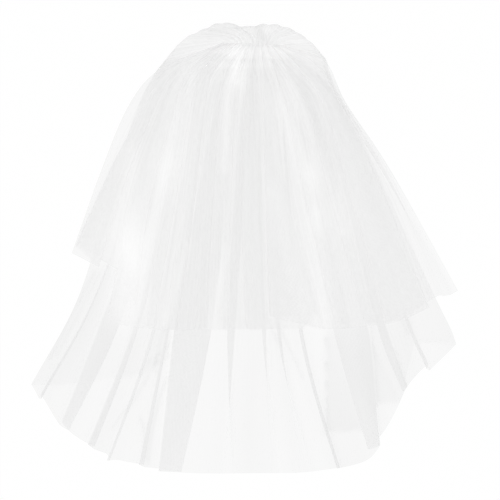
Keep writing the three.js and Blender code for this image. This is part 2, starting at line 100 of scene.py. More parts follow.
# How far values are smoothed, in rows or columns of points
LOWER_ROW_BLUR = 2.5
UPPER_ROW_BLUR = 4.0
COLUMN_BLUR = 1.5
SIDE_BLUR = 7.0
PILE_BLUR = 1.0
GATHER_COLUMN_BLUR = 6
GATHER_ROW_BLUR = 3
NORMAL_BLUR = 2.0

# How much of a sheet's tilt its shading normals keep
SHEEN_TILT = 0.4

# How far from the middle the upper tier's heights are smoothed more, as a share of its width
SIDE_FROM = 0.38
SIDE_EASE = 0.06

# How far down the small gathers reach and how large the crumples are, in millimetres of flat cloth
GATHER_REACH = 150
CRUMPLE_ACROSS = 34
CRUMPLE_DOWN = 120

# Width of a broad gather, in small gathers
BROAD_GATHER = 3.7

# Where the gathering stitches lie, in metres, and how they lean in turn, in degrees
STITCH_SETBACK = 0.002
STITCH_REACH = 0.0015
STITCH_LEANS = (5, -8)

# The key light's softness and turn in degrees, the floor's size and the camera's reach in metres, the width
# of its sensor in millimetres, and how many clear layers a ray may pass
KEY_SOFTNESS = 25
KEY_TURN = (24, -52)
FLOOR_SIZE = 12
CAMERA_REACH = 50
SENSOR_WIDTH = 36
CLEAR_LAYERS = 64

# The look of the net: how much each pattern changes it, and how fine the pattern is
NET_RANDOMNESS = 0.8
THREAD_NEAR = 0.05
THREAD_FAR = 0.3
THREAD_BASE = 0.95
THREAD_SPAN = 0.14
STREAK_BASE = 0.6
STREAK_SPAN = 0.8
STREAK_SCALE = 75.0
STREAK_STRETCH = 0.06
BROAD_SCALE = 18.0
BROAD_STRETCH = 0.09
FINE_WHITE = 0.07
BROAD_WHITE = 0.14

# The flat cut of each tier, in millimetres. The hem and length are those of the cloth as laid. The gathered
# edge is a guess, as its gathers are too fine to lay, and the sides slant in to it.
LOWER_CUT = {"hem": 1160.0, "top": 640.0, "length": 790.0}
UPPER_CUT = {"hem": 1500.0, "top": 640.0, "length": 490.0}


def table(columns, rows):
    return [dict(zip(columns, row)) for row in rows]


# The fan that both tiers follow: where each line of cloth crosses the puff, neck, shoulder, waist and hems
FAN = table(
    [
        "share", "topX", "topY", "neckX", "neckY", "shoulderX", "shoulderY", "waistX", "waistY",
        "upperX", "upperY", "lowerX", "lowerY",
    ],
    [
        [0.0, -147, 293, -137, 298, -191, 240, -243, 117, -307, -66, -355, -228],
        [0.125, -105, 343, -101, 289, -144, 212, -181, 79, -232, -119, -301, -319],
        [0.25, -73, 361, -68, 286, -94, 209, -121, 59, -158, -136, -216, -362],
        [0.375, -38, 374, -33, 283, -51, 204, -64, 54, -81, -136, -104, -375],
        [0.5, 2, 368, 4, 281, 2, 204, 2, 51, 4, -136, 9, -376],
        [0.625, 38, 372, 39, 283, 52, 212, 69, 62, 92, -136, 122, -372],
        [0.75, 72, 366, 72, 287, 102, 226, 136, 79, 176, -134, 222, -343],
        [0.875, 107, 345, 104, 296, 148, 238, 196, 101, 262, -121, 280, -238],
        [1.0, 136, 313, 133, 310, 170, 239, 244, 128, 356, -72, 353, -161],
    ],
)
LOWER_COLUMNS = [
    "top", "waist", "upper", "lower", "topDepth", "waistDepth", "upperDepth", "lowerDepth",
    "loft", "hidden", "after",
]
LOWER_TIER = {
    "marks": ["top", "waist", "upper", "lower"],
    "stations": ["top", "shoulder", "waist", "upper", "lower"],
    "second": 0.6,
    "middle": {"top": 0.452, "waist": 0.43, "upper": 0.42, "lower": 0.41},
    "left": {
        "edge": {"top": 0.015, "waist": 0.045, "upper": 0.047, "lower": 0.0},
        "folds": table(LOWER_COLUMNS, [
            [0.41, 0.385, 0.367, 0.353, -6, 50, 62, 38, 3.0, 1.0, 0.995],
            [0.335, 0.305, 0.3, 0.3, -6, 3, 4, 8, 1.2, 0.99, 0.99],
            [0.265, 0.268, 0.262, 0.235, -6, 4, 5, 4, 1.0, 1.0, 0.985],
            [0.195, 0.225, 0.213, 0.19, -6, 8, 8, 12, 1.6, 0.98, 0.98],
            [0.125, 0.165, 0.142, 0.118, -6, 14, 30, 18, 2.2, 0.975, 0.985],
            [0.06, 0.105, 0.082, 0.035, -6, 2, 3, 4, 0.8, 0.99, 1.0],
        ]),
    },
    "right": {
        "edge": {"top": 0.98, "waist": 0.95, "upper": 0.955, "lower": 1.0},
        "folds": table(LOWER_COLUMNS, [
            [0.495, 0.475, 0.4625, 0.46, -6, 15, 13, -14, 1.8, 1.0, 1.0],
            [0.56, 0.545, 0.54, 0.545, -6, 6, 6, -14, 1.2, 1.0, 1.0],
            [0.62, 0.59, 0.575, 0.605, -6, 6, 6, -13, 1.2, 1.0, 1.0],
            [0.685, 0.635, 0.627, 0.665, -6, 6, 6, 5, 1.4, 1.0, 1.0],
            [0.76, 0.74, 0.75, 0.745, -6, 46, 57, 24, 3.2, 0.985, 0.975],
            [0.84, 0.825, 0.825, 0.855, -6, 12, 14, 14, 1.6, 0.96, 0.965],
            [0.915, 0.885, 0.885, 0.92, -6, 4, 5, 4, 0.8, 0.97, 1.0],
        ]),
    },
}
UPPER_COLUMNS = [
    "top", "shoulder", "waist", "upper", "topDepth", "shoulderDepth", "waistDepth", "upperDepth",
    "loft", "hidden", "after",
]
UPPER_TIER = {
    "marks": ["top", "shoulder", "waist", "upper"],
    "stations": ["seam", "neck", "shoulder", "waist", "upper"],
    "second": 0.5,
    "middle": {"top": 0.48, "shoulder": 0.48, "waist": 0.48, "upper": 0.485},
    "left": {
        "edge": {"top": 0, "shoulder": 0, "waist": 0, "upper": 0},
        "folds": table(UPPER_COLUMNS, [
            [0.44, 0.445, 0.445, 0.45, -2.4, 8, 11, 12, 1.6, 1.0, 1.0],
            [0.36, 0.38, 0.385, 0.39, -2.4, 10, 12, 12, 1.6, 0.995, 1.0],
            [0.28, 0.31, 0.315, 0.315, -2.4, 10, 13, 13, 1.6, 1.0, 1.0],
            [0.2, 0.235, 0.24, 0.25, -2.4, 14, 17, 14, 2.0, 0.99, 1.0],
            [0.12, 0.155, 0.14, 0.165, -2.4, 22, 32, 44, 2.6, 0.985, 0.9],
            [0.05, 0.073, 0.052, 0.039, -2.4, 20, 33, 55, 2.2, 0.91, 0.925],
        ]),
    },
    "right": {
        "edge": {"top": 1, "shoulder": 1, "waist": 1, "upper": 1},
        "folds": table(UPPER_COLUMNS, [
            [0.52, 0.515, 0.515, 0.52, -2.4, 20, 30, 30, 2.0, 1.0, 1.0],
            [0.6, 0.6, 0.6, 0.615, -2.4, 22, 40, 84, 2.4, 0.955, 1.0],
            [0.68, 0.69, 0.7, 0.73, -2.4, 13, 16, 15, 2.2, 1.0, 1.0],
            [0.76, 0.775, 0.78, 0.8, -2.4, 14, 18, 17, 1.8, 0.99, 1.0],
            [0.84, 0.86, 0.88, 0.888, -2.4, 24, 54, 80, 2.4, 1.0, 0.99],
            [0.93, 0.955, 0.975, 0.978, -2.4, 7, 5, -10, 1.0, 1.0, 1.0],
        ]),
    },
}

# Bands of painted light, where the tulle's colour is made whiter, and of painted shade where the amount is
# negative: millimetres in plan, how far to each side, and how much
PAINTED_LIGHT_BANDS = table(
    ["fromX", "fromY", "toX", "toY", "side", "amount"],
    [
        [-197, 0, -195, -88, 34, 0.7],
        [-188, 150, -197, 0, 18, 0.35],
        [-94, 279, -129, 129, 22, 0.35],
        [-129, 129, -174, -21, 22, 0.35],
        [-29, 279, -34, 130, 6, 0.35],
        [-96, 1, -129, -121, 6, 0.3],
        [-31, -9, -57, -132, 7, 0.3],
        [-14, 322, -12, 282, 12, 0.75],
        [-14, 318, -13, 300, 22, 0.25],
        [-37, 330, 65, 325, 9, 0.35],
        [-30, 303, 30, 303, 7, 0.5],
        [-95, 345, 95, 345, 34, 0.65],
        [40, 310, 60, 300, 12, 0.3],
        [62, 235, 108, 120, 16, 0.4],
        [108, 120, 122, 40, 14, 0.4],
        [122, 40, 142, -115, 16, 0.35],
        [70, 275, 106, 190, 7, 0.3],
        [108, 170, 122, 60, 6, 0.25],
        [48, 90, 96, -109, 12, 0.25],
        [160, 60, 175, -120, 30, 0.25],
        [128, 150, 165, 30, 12, 0.25],
        [7, 212, 7, -90, 18, -0.1],
        [16, 372, 30, 349, 7, -0.7],
        [-3, 374, 10, 352, 5, -0.3],
    ],
)

# Creases and small wrinkles on the lower tier, each a curve through a bend: millimetres in plan, how far to
# each side, how high it stands, and how much denser its net is
CREASES = table(
    ["fromX", "fromY", "bendX", "bendY", "toX", "toY", "side", "height", "gathers"],
    [
        [-249, -41, -290, -110, -324, -183, 3.5, 1.2, 0.7],
        [-240, -45, -280, -115, -312, -180, 3.5, 1.0, 0.5],
        [-131, -138, -146, -165, -146, -205, 5.0, 1.6, 0.5],
        [-171, -209, -150, -192, -124, -179, 4.0, 1.4, 0.8],
        [-116, -150, -122, -170, -160, -192, 4.0, 1.4, 0.5],
        [-128, -218, -154, -275, -161, -357, 4.0, 1.2, 0.8],
        [-174, -282, -160, -310, -167, -348, 3.5, 1.0, 0.8],
        [-146, -190, -176, -245, -219, -300, 3.5, 1.2, 0.6],
        [248, -171, 258, -200, 266, -229, 3.5, 1.0, 0.6],
        [262, -121, 268, -132, 272, -142, 3.5, 1.0, 0.6],
        [284, -156, 318, -158, 350, -157, 3.0, 0.6, 0.4],
        [34, -113, 44, -135, 56, -159, 3.2, 1.0, 0.7],
        [46, -113, 72, -160, 96, -216, 3.2, 1.0, 0.7],
        [137, -136, 135, -220, 134, -310, 4.0, 1.0, 0.5],
    ],
)

# The net of the lower tier's sides is denser down to an inner hem, in plan, and the right side again as far
# as a flap's edge
INNER_HEM = table(
    ["x", "y"],
    [
        [-360, -229], [-307, -229], [-254, -222], [-182, -214], [-127, -171], [-112, -90], [0, 400],
        [132, 400], [137, -307], [196, -304], [224, -259], [262, -257], [266, -229], [284, -156], [360, -156],
    ],
)
HEM_SOFTNESS = 3.0
SIDE_GATHERS = 0.55
FLAP_GATHERS = 0.8
FLAP_TOP = (204, -137)
FLAP_SLANT = 0.465


def mix(a, b, f):
    return a + (b - a) * f


def calm(share):
    return np.clip(5 * share * (1 - share), 0, 1)


def along(lines, at):
    """Reads m lines of n evenly spaced values, shaped (m, n, k), each at its own place from 0 to 1."""
    last = lines.shape[1] - 1
    place = at * last
    i = np.clip(np.floor(place).astype(int), 0, last - 1)
    f = (place - i)[:, None]
    rows = np.arange(len(at))
    p1 = lines[rows, i]
    p2 = lines[rows, i + 1]
    p0 = np.where((i > 0)[:, None], lines[rows, np.maximum(i - 1, 0)], 2 * p1 - p2)
    p3 = np.where((i + 2 <= last)[:, None], lines[rows, np.minimum(i + 2, last)], 2 * p2 - p1)
    curve = p1 + 0.5 * f * (p2 - p0 + f * (2 * p0 - 5 * p1 + 4 * p2 - p3 + f * (3 * (p1 - p2) + p3 - p0)))
    return np.where((f < 0) | (f > 1), p1 + (p2 - p1) * f, curve)


def seam_point(share):
    share = np.asarray(share, float)
    return np.stack([mix(SEAM_LEFT, SEAM_RIGHT, share), SEAM_Y - SEAM_SAG * share ** 2], -1)


def pouf_seam_point(share):
    share = np.asarray(share, float)
    point = seam_point(share)
    point[..., 1] -= POUF_HOOK * np.clip(1 - np.minimum(share, 1 - share) / POUF_HOOK_SHARE, 0, None) ** 2
    return point


def fan_lines(tier):
    """The fan as an array of rays, stations and X, Y."""
    return np.array([
        [
            seam_point(ray["share"]) if name == "seam" else (ray[name + "X"], ray[name + "Y"])
            for name in tier["stations"]
        ]
        for ray in FAN
    ], float)


def plan_at(tier, share, level):
    """Where a tier's cloth lies in plan, for arrays of shares and levels."""
    share = np.atleast_1d(np.asarray(share, float))
    level = np.broadcast_to(np.asarray(level, float), share.shape)
    rays = tier["rays"]
    count = len(share)
    crossed = np.stack([
        along(np.broadcast_to(ray, (count,) + ray.shape), level / LAST) for ray in rays
    ], 1)
    return along(crossed, share)


def read_marks(tier, row, ending, level):
    a, b, c, d = [row[name + ending] for name in tier["marks"]]
    line = np.array([a, mix(a, b, tier["second"]), b, c, d], float)
    return float(along(line[None, :, None], np.array([level / LAST]))[0, 0])


class Ruler:
    """Distances along one row of the fan, in millimetres."""

    def __init__(self, point_at):
        self.shares = np.linspace(-0.05, 1.05, 221)
        points = point_at(self.shares)
        steps = np.hypot(*np.diff(points, axis=0).T)
        self.lengths = np.concatenate([[0], np.cumsum(steps)])

    def place(self, share):
        return np.interp(share, self.shares, self.lengths)

    def share(self, place):
        return np.interp(place, self.lengths, self.shares)


def half_row(tier, half, side, level, ruler, start):
    """Half a row as columns of (place, own height, reach, breaks), from the middle outwards."""
    deepened = min(1, level / FOLDED_LEVEL) ** 2
    centres = [side * float(ruler.place(read_marks(tier, fold, "", level))) for fold in half["folds"]]
    depths = [
        mix(fold["topDepth"], read_marks(tier, fold, "Depth", level), deepened) for fold in half["folds"]
    ]
    edge = side * float(ruler.place(read_marks(tier, half["edge"], "", level)))
    columns = []
    begin = side * start
    reach = 1.0
    for k, (fold, centre, depth) in enumerate(zip(half["folds"], centres, depths)):
        turned = depth > -2 * TIP_SPLIT
        split = TIP_SPLIT * min(1, max(0.15, 1 - depth / 12))
        opened = min(1, max(0, (RIPPLE_FLAT + depth) / (RIPPLE_FLAT - RIPPLE_OPEN)))
        following = k + 1 < len(centres)
        limit = centres[k + 1] + depths[k + 1] / 2 - TIP_SPLIT if following else edge
        first = centre + depth / 2
        second = centre - depth / 2
        top = max(first, second) + split
        gap = max(limit - top, 1.5)
        step = top + min(STEP_WIDTH, 0.2 * gap)
        down = step + min(STEP_RUN, 0.3 * gap)
        low = (0.25 * fold["loft"] if turned else PITCH) * opened
        high = 0.5 * fold["loft"] if turned else 2 * PITCH * opened
        rise = TURN_RISE * opened
        before = mix(reach, fold["hidden"], 0.65)
        beyond = mix(fold["after"], fold["hidden"], 0.65)
        columns += [
            (mix(begin, first - split, 1 / 3), 0, reach, False),
            (mix(begin, first - split, 2 / 3), 0, reach, False),
            (first - split, 0, before, False),
            (first + split, low, before, turned),
            (second - split, low + rise, beyond, False),
            (second + split, high + (0 if turned else rise), beyond, turned),
            (step, high, fold["after"], False),
            (down, 0, fold["after"], False),
        ]
        begin = down
        reach = fold["after"]
    columns += [(mix(begin, edge, 0.5), 0, reach, False), (edge, 0, reach, False)]
    return [[side * c[0], c[1], c[2], c[3], 0.0] for c in columns]


def lay_row(left, middle, right, under):
    """Gives each column its height: each run of cloth lies on the runs laid before it."""
    grain = 0.4
    places = [c[0] for c in left + [middle] + right]
    begin = min(places) - 8
    count = math.ceil((max(places) + 8 - begin) / grain) + 1
    top = under(begin + np.arange(count) * grain)
    side = round(SIDE_ROOM / grain)

    def lay(run):
        padded = np.pad(top, side, mode="edge")
        clear = np.max([padded[k:k + count] for k in range(2 * side + 1)], axis=0) + PITCH
        clear = np.maximum(clear, FLOOR_MIDDLE)
        cell = lambda s: np.clip(np.round((s - begin) / grain).astype(int), 0, count - 1)
        s = np.array([c[0] for c in run])
        z = clear[cell(s)] + np.array([c[1] for c in run])
        stretches = []
        for i in range(1, len(run)):
            steps = max(1, math.ceil(abs(s[i] - s[i - 1]) / grain))
            f = np.arange(steps + 1) / steps
            cells = cell(mix(s[i - 1], s[i], f))
            stretches.append((i, f, cells, clear[cells], 1 / (f * f + (1 - f) ** 2)))
        for _ in range(3):
            for i, f, cells, floor, weight in stretches:
                lack = (floor - mix(z[i - 1], z[i], f)) * weight
                k = int(np.argmax(lack))
                if lack[k] > 0.01:
                    z[i - 1] += lack[k] * (1 - f[k])
                    z[i] += lack[k] * f[k]
        for i, f, cells, floor, weight in stretches:
            np.maximum.at(top, cells, mix(z[i - 1], z[i], f))
        for c, height in zip(run, z):
            c[4] = height

    def runs_of(columns):
        runs = [[]]
        for c in columns:
            if c[3]:
                runs.append([])
            runs[-1].append(c)
        return runs

    right_runs = runs_of(right)
    left_runs = runs_of(left)
    lay(left_runs[0][::-1] + [middle] + right_runs[0])
    for run in right_runs[1:] + left_runs[1:]:
        lay(run)


def rounded(columns, times=2):
    """Cuts the corners of a row of columns, so that folds turn softly."""
    for _ in range(times):
        near = 0.75 * columns[:-1] + 0.25 * columns[1:]
        far = 0.25 * columns[:-1] + 0.75 * columns[1:]
        between = np.stack([near, far], 1).reshape(-1, columns.shape[1])
        columns = np.concatenate([columns[:1], between[1:-1], columns[-1:]])
    return columns


def folded_row(tier, level, under):
    """One row of folded cloth: X, Y, Z, share and level of each point."""
    ruler = Ruler(lambda share: plan_at(tier, share, level))
    start = float(ruler.place(read_marks(tier, tier["middle"], "", level)))
    middle = [start, 0, 1.0, False, 0.0]
    right = half_row(tier, tier["right"], 1, level, ruler, start)
    left = half_row(tier, tier["left"], -1, level, ruler, start)
    lay_row(left, middle, right, lambda s: under(ruler.share(s)))
    row = rounded(np.array([[c[0], c[4], c[2]] for c in left[::-1] + [middle] + right]))
    near = (level / LAST) ** 3
    share = ruler.share(row[:, 0])
    levels = level * (1 + (row[:, 2] - 1) * near)
    plan = plan_at(tier, share, levels)
    return np.column_stack([plan, row[:, 1], share, levels])


GATHER_PROFILE = [0, 0.04, 0.2, 0.62, 1, 0.92, 0.5, 0.12]


def gathered_row(tier, point_at):
    """Shares and rises of one row of even gathers."""
    ruler = Ruler(point_at)
    first = float(ruler.place(0))
    last = float(ruler.place(1))
    count_left = len(tier["left"]["folds"])
    count_right = len(tier["right"]["folds"])
    pitch = (last - first) / (count_left + count_right + 1)
    middle = first + pitch * (count_left + 0.5)
    step = pitch / len(GATHER_PROFILE)

    def half(side, folds):
        columns = [
            (middle + side * (k * pitch + (j + 1) * step), rise)
            for k in range(folds) for j, rise in enumerate(GATHER_PROFILE)
        ]
        columns.append((middle + side * (folds * pitch + 1.5 * step), 0))
        columns.append((middle + side * (folds + 0.5) * pitch, 0))
        return columns

    row = np.array(half(-1, count_left)[::-1] + [(middle, 0)] + half(1, count_right), float)
    share = ruler.share(row[:, 0])
    return rounded(np.column_stack([share, row[:, 1] * calm(share) ** 2]))


class Pile:
    """A map, seen from above, of how high the middle of the topmost layer lies."""
    grain = 3.0
    reach = 150

    def __init__(self):
        self.cells = np.full((2 * self.reach, 2 * self.reach), FLOOR_MIDDLE - PITCH)

    def mark(self, x, y, z):
        i = np.round(np.asarray(x) / self.grain).astype(int) + self.reach
        j = np.round(np.asarray(y) / self.grain).astype(int) + self.reach
        for a in (-1, 0, 1):
            for b in (-1, 0, 1):
                np.maximum.at(self.cells, (i + a, j + b), z)

    def mark_rows(self, rows):
        """Marks a grid of points and the middles between them."""
        across = (rows[:, 1:] + rows[:, :-1]) / 2
        down = (rows[1:] + rows[:-1]) / 2
        both = (across[1:] + across[:-1]) / 2
        for points in (rows, across, down, both):
            self.mark(points[..., 0], points[..., 1], points[..., 2])

    def height(self, points):
        u = points[..., 0] / self.grain + self.reach
        v = points[..., 1] / self.grain + self.reach
        i = np.floor(u).astype(int)
        j = np.floor(v).astype(int)
        near = mix(self.cells[i, j], self.cells[i + 1, j], u - i)
        far = mix(self.cells[i, j + 1], self.cells[i + 1, j + 1], u - i)
        return mix(near, far, v - j)


def blurred(values, sigma, axis):
    """Values blurred along an axis, with the ends held."""
    reach = math.ceil(3 * sigma)
    weights = np.exp(-0.5 * (np.arange(-reach, reach + 1) / sigma) ** 2)
    weights /= weights.sum()
    pad = [(0, 0)] * values.ndim
    pad[axis] = (reach, reach)
    padded = np.pad(values, pad, mode="edge")
    size = values.shape[axis]
    return sum(w * np.take(padded, range(k, k + size), axis=axis) for k, w in enumerate(weights))


def lower_back_rows(count):
    """The lower tier from where the puff has turned under, down to its hem."""
    bare = lambda share: np.full(len(share), FLOOR_MIDDLE - PITCH)
    levels = np.linspace(BACK_LEVEL, LAST, count)
    return np.array([folded_row(LOWER_TIER, level, bare) for level in levels])


def unit(vectors):
    return vectors / np.maximum(np.linalg.norm(vectors, axis=-1, keepdims=True), 1e-9)


def pouf_rows(seam_low, front_count, turn_count):
    """The puff, from the seam up and over to where it turns under."""
    seam = gathered_row(LOWER_TIER, pouf_seam_point)
    top = gathered_row(LOWER_TIER, lambda share: plan_at(LOWER_TIER, share, 0))
    share, rise = top.T
    tip = plan_at(LOWER_TIER, share, 0)
    run = unit(plan_at(LOWER_TIER, share + 0.01, 0) - plan_at(LOWER_TIER, share - 0.01, 0))
    radius = POUF_RADIUS * mix(POUF_END, 1, calm(share))
    reach = radius - rise * RIPPLE_HEIGHT

    def turn(degrees):
        angle = math.radians(degrees)
        following = pouf_seam_point(share) if degrees > 0 else plan_at(LOWER_TIER, share, BACK_LEVEL)
        aim = unit(following - tip)
        lean = abs(math.sin(angle))
        way = unit(np.column_stack([mix(run[:, 1], aim[:, 0], lean), mix(-run[:, 0], aim[:, 1], lean)]))
        inset = radius - reach * math.cos(angle)
        z = FLOOR_MIDDLE + radius + reach * math.sin(angle)
        return np.column_stack([tip + way * inset[:, None], z, share, np.full(len(share), -0.2)])

    over = turn(90)
    base = pouf_seam_point(seam[:, 0])
    distance = np.hypot(*(over[:, :2] - base).T)
    lifted = base[:, 1] + np.minimum(POUF_LIFT * calm(seam[:, 0]), 0.5 * distance)
    low = seam_low + GATHER_HEIGHT * (1 - seam[:, 1])
    rows = []
    for f in np.linspace(0, POUF_FRONT_END, front_count):
        x = mix(base[:, 0], mix(base[:, 0], over[:, 0], f), f)
        y = mix(mix(base[:, 1], lifted, f), mix(lifted, over[:, 1], f), f)
        z = mix(low, over[:, 2], f * f * (3 - 2 * f))
        rows.append(np.column_stack([x, y, z, share, np.full(len(share), -1 + 0.8 * f)]))
    return np.array(rows + [turn(degrees) for degrees in np.linspace(90, -90, turn_count)])


def between(first, last, count):
    """Rows that lead from one row to another, without either."""
    return np.array([mix(first, last, k / (count + 1)) for k in range(1, count + 1)])


def upper_rows(pile, count):
    """The upper tier, from the seam down over everything else."""
    seam = gathered_row(UPPER_TIER, lambda share: plan_at(UPPER_TIER, share, 0))
    plan = plan_at(UPPER_TIER, seam[:, 0], 0)
    z = pile.height(plan).max() + PITCH + seam[:, 1] * GATHER_HEIGHT
    first = np.column_stack([plan, z, seam[:, 0], np.zeros(len(seam))])

    def row_at(level):
        def highest(share):
            return np.max([
                pile.height(plan_at(UPPER_TIER, share, level + offset))
                for offset in (-HIGH_SPAN, 0, HIGH_SPAN)
            ], axis=0)
        return folded_row(UPPER_TIER, level, highest)

    rows = np.array([row_at(level) for level in np.linspace(UPPER_LEVEL, LAST, count)])
    return np.concatenate([first[None], between(first, rows[0], SEAM_JOIN_ROWS), rows])


def add_relief(rows, cut, sizes):
    """Raises small gathers and crumples on a tier, by each point's place on the flat cloth."""
    spread = rows[..., 3] * cut["hem"]
    down = rows[..., 4] / LAST * cut["length"]
    swing = 1.4 * np.sin(spread / 67 + 0.6) + 0.9 * np.sin(down / 83 + spread / 151)
    fine = 0.5 + 0.5 * np.sin(2 * math.pi * spread / sizes.gather_pitch + swing)
    broad = 0.5 + 0.5 * np.sin(2 * math.pi * spread / (BROAD_GATHER * sizes.gather_pitch) - 1.7 * swing)
    fade = np.exp(-np.clip(down, 0, None) / GATHER_REACH)
    ends = calm(rows[..., 3]) ** 0.5
    relief = ends * sizes.gather_height * (0.75 * fine * fade + 0.55 * broad * mix(0.25, 1, fade))
    shape = rows.shape[:2]
    crumple = np.array([
        noise.fractal(Vector((s / CRUMPLE_ACROSS, d / CRUMPLE_DOWN, cut["length"] / 100)), 0.6, 2.0, 4)
        for s, d in zip(spread.ravel(), down.ravel())
    ]).reshape(shape)
    relief += sizes.crumple_height * np.clip(0.5 + 0.9 * crumple, 0, 1.6)
    rows[..., 2] += relief


def near_crease(points, crease):
    """From 0 to 1, how near each place is to a crease's line."""
    f = np.linspace(0, 1, 24)
    x = mix(mix(crease["fromX"], crease["bendX"], f), mix(crease["bendX"], crease["toX"], f), f)
    y = mix(mix(crease["fromY"], crease["bendY"], f), mix(crease["bendY"], crease["toY"], f), f)
    nearest = np.full(points.shape[:-1], 1e9)
    for a, b in zip(np.column_stack([x, y])[:-1], np.column_stack([x, y])[1:]):
        way = b - a
        along_way = np.clip(((points[..., :2] - a) @ way) / (way @ way), 0, 1)[..., None]
        nearest = np.minimum(nearest, np.linalg.norm(points[..., :2] - a - along_way * way, axis=-1))
    return np.exp(-(nearest / crease["side"]) ** 2)


def doubled_at(points):
    """How much denser the net is on the lower tier's sides."""
    x = points[..., 0]
    y = points[..., 1]
    hem = np.interp(x, [corner["x"] for corner in INNER_HEM], [corner["y"] for corner in INNER_HEM])
    above = np.clip((y - hem) / HEM_SOFTNESS + 0.5, 0, 1)
    flap = FLAP_TOP[0] + (FLAP_TOP[1] - y) * FLAP_SLANT
    within = np.clip((flap - x) / HEM_SOFTNESS + 0.5, 0, 1) * (x > 0)
    return above * (SIDE_GATHERS + FLAP_GATHERS * within)


def painted_light_at(points):
    """How much painted light the bands give each place; a negative amount is painted shade."""
    amount = np.zeros(points.shape[:-1])
    for band in PAINTED_LIGHT_BANDS:
        start = np.array([band["fromX"], band["fromY"]], float)
        way = np.array([band["toX"], band["toY"]], float) - start
        length = np.linalg.norm(way)
        way /= length
        offset = points[..., :2] - start
        far = offset @ way
        aside = offset @ np.array([way[1], -way[0]])
        over = np.maximum(np.maximum(-far, far - length), 0)
        amount += band["amount"] * np.exp(-(aside / band["side"]) ** 2 - (over / (1.6 * band["side"])) ** 2)
    return amount


def cloth_piece(name, rows, cut, creases, fold_gathers):
    """A sheet mesh of a grid of points, with its flat cut as its UV map and what its material reads."""
    height, width = rows.shape[:2]
    bm = bmesh.new()
    bm.loops.layers.uv.new("cut")
    bmesh.ops.create_grid(bm, x_segments=width - 1, y_segments=height - 1, size=1, calc_uvs=True)
    mesh = bpy.data.meshes.new(name)
    bm.to_mesh(mesh)
    bm.free()
    flat = np.empty(len(mesh.vertices) * 3)
    mesh.vertices.foreach_get("co", flat)
    flat = flat.reshape(-1, 3)
    column = np.round((flat[:, 0] + 1) / 2 * (width - 1)).astype(int)
    row = np.round((1 - flat[:, 1]) / 2 * (height - 1)).astype(int)
    placed = rows[row, column, :3] + np.array([SHIFT.x, SHIFT.y, 0])
    mesh.vertices.foreach_set("co", (placed * MM).ravel())

    across = np.linalg.norm(np.diff(rows[..., :3], axis=1), axis=2)
    down = np.linspace(0, 1, height)
    narrowed = mix(cut["top"], cut["hem"], down) / cut["hem"]
    corners = np.empty(len(mesh.loops) * 2)
    mesh.uv_layers["cut"].data.foreach_get("uv", corners)
    corners = corners.reshape(-1, 2)
    corners[:, 0] = 0.5 + (corners[:, 0] - 0.5) * np.interp(1 - corners[:, 1], down, narrowed)
    mesh.uv_layers["cut"].data.foreach_set("uv", corners.ravel())
    hem = blurred(across[-1], GATHER_COLUMN_BLUR, 0)
    evened = np.maximum(blurred(across, GATHER_COLUMN_BLUR, 1), 0.02)
    packed = blurred(hem[None] * narrowed[:, None] / evened, GATHER_ROW_BLUR, 1)
    whole = (narrowed * cut["hem"] / np.sum(across, axis=1))[:, None]
    gather = np.sqrt(np.clip(packed, 0.6, 10) * np.clip(whole, 0.8, 10))
    gather = np.concatenate([gather, gather[:, -1:]], axis=1)
    # Painted light and painted shade from the bands, stored as the light attribute
    light = painted_light_at(rows)
    grain = np.zeros((height, width, 3))
    grain[..., 0] = np.linspace(0, cut["hem"] * MM, width)[None]
    grain[..., 1] = np.linspace(0, cut["length"] * MM, height)[:, None]
    for crease in creases:
        gather = gather * (1 + crease["gathers"] * near_crease(rows, crease))
    if fold_gathers:
        turned_back = np.diff(rows[..., 3], axis=1, append=2) < -1e-5
        gather = np.where(turned_back, np.maximum(gather, 1) * (1 + fold_gathers), gather)
        gather = gather * (1 + doubled_at(rows))
    for attribute, values in (("gather", gather), ("light", light)):
        layer = mesh.attributes.new(attribute, "FLOAT", "POINT")
        layer.data.foreach_set("value", values[row, column].astype(np.float32))
    mesh.update()
    normals = np.empty(len(mesh.vertices) * 3)
    mesh.vertices.foreach_get("normal", normals)
    facing = np.empty((height, width, 3))
    facing[row, column] = normals.reshape(-1, 3)
    facing = blurred(facing, NORMAL_BLUR, 0) * np.array([SHEEN_TILT, SHEEN_TILT, 1])
    normals = unit(facing[row, column])
    layer = mesh.attributes.new("grain", "FLOAT_VECTOR", "POINT")
    layer.data.foreach_set("vector", grain[row, column].astype(np.float32).ravel())
    for polygon in mesh.polygons:
        polygon.use_smooth = True
    mesh.normals_split_custom_set_from_vertices(normals.tolist())
    mesh.update()
    piece = bpy.data.objects.new(name, mesh)
    bpy.context.scene.collection.objects.link(piece)
    piece.visible_shadow = False
    piece.visible_diffuse = False
    return piece


BINDING_LOW, BINDING_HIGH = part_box("binding")
SHIFT = Vector((BINDING_LOW[0] / MM - (SEAM_LEFT - 1), BINDING_HIGH[1] / MM - (SEAM_Y - SEAM_SAG)))


class Nodes:
    """A short way to place and join shader nodes."""

    def __init__(self, tree):
        self.tree = tree

    def add(self, kind, **inputs):
        settings = inputs.pop("settings", {})
        node = self.tree.nodes.new(kind)
        for name, value in settings.items():
            setattr(node, name, value)
        for name, value in inputs.items():
            numbered = name[0] == "i" and name[1:].isdigit()
            socket = node.inputs[int(name[1:]) if numbered else name]
            if isinstance(value, bpy.types.NodeSocket):
                self.tree.links.new(value, socket)
            else:
                socket.default_value = value
        return node

    def math(self, operation, a, b=0.0, c=0.0, clamp=False):
        settings = {"operation": operation, "use_clamp": clamp}
        return self.add("ShaderNodeMath", i0=a, i1=b, i2=c, settings=settings).outputs[0]


def new_material(name):
    material = bpy.data.materials.new(name)
    material.use_nodes = True
    material.node_tree.nodes.clear()
    nodes = Nodes(material.node_tree)
    shader = nodes.add("ShaderNodeBsdfPrincipled")
    output = nodes.add("ShaderNodeOutputMaterial", Surface=shader.outputs[0])
    return material, nodes, shader


